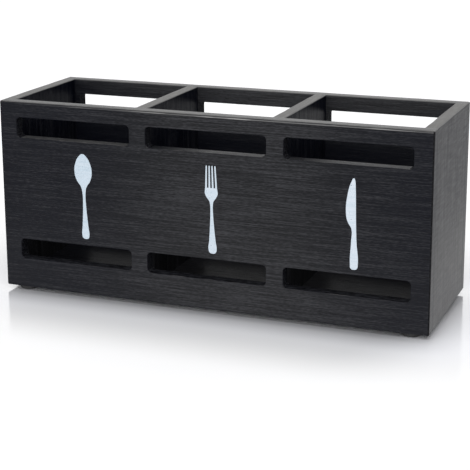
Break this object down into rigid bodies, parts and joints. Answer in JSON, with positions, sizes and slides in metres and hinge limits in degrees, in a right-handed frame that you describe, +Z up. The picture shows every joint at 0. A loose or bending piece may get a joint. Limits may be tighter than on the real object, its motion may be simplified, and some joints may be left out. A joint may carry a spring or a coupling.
{
  "type": "cutlery holder",
  "caption": "Open-topped stained wooden box with divided compartments for standing cutlery, slotted front and back panels, and low round feet.",
  "frame": {"origin": "on the resting plane under the feet, below the middle of the box", "axes": "+X to the right along the front panel as seen from the front, +Y from the front panel to the back panel, +Z up"},
  "size_m": [0.32, 0.109, 0.1425],
  "materials": {
    "stained_wood": "black stain, brushed open grain, satin",
    "foot_rubber": "moulded, matte",
    "pin_steel": "drawn wire, bright",
    "sign_paint": "pale stencil paint, slightly speckled at the tips"
  },
  "bodies": {
    "root": {"front_panel": "stained_wood", "back_panel": "stained_wood", "left_end_panel": "stained_wood", "right_end_panel": "stained_wood", "left_divider": "stained_wood", "right_divider": "stained_wood", "base_board": "stained_wood", "front_left_foot": "foot_rubber", "front_right_foot": "foot_rubber", "back_left_foot": "foot_rubber", "back_right_foot": "foot_rubber", "front_left_corner_pins": "pin_steel", "front_right_corner_pins": "pin_steel", "back_left_corner_pins": "pin_steel", "back_right_corner_pins": "pin_steel", "left_divider_pins": "pin_steel", "right_divider_pins": "pin_steel", "base_front_pins": "pin_steel", "base_back_pins": "pin_steel", "base_left_pins": "pin_steel", "base_right_pins": "pin_steel"}
  },
  "joints": []
}
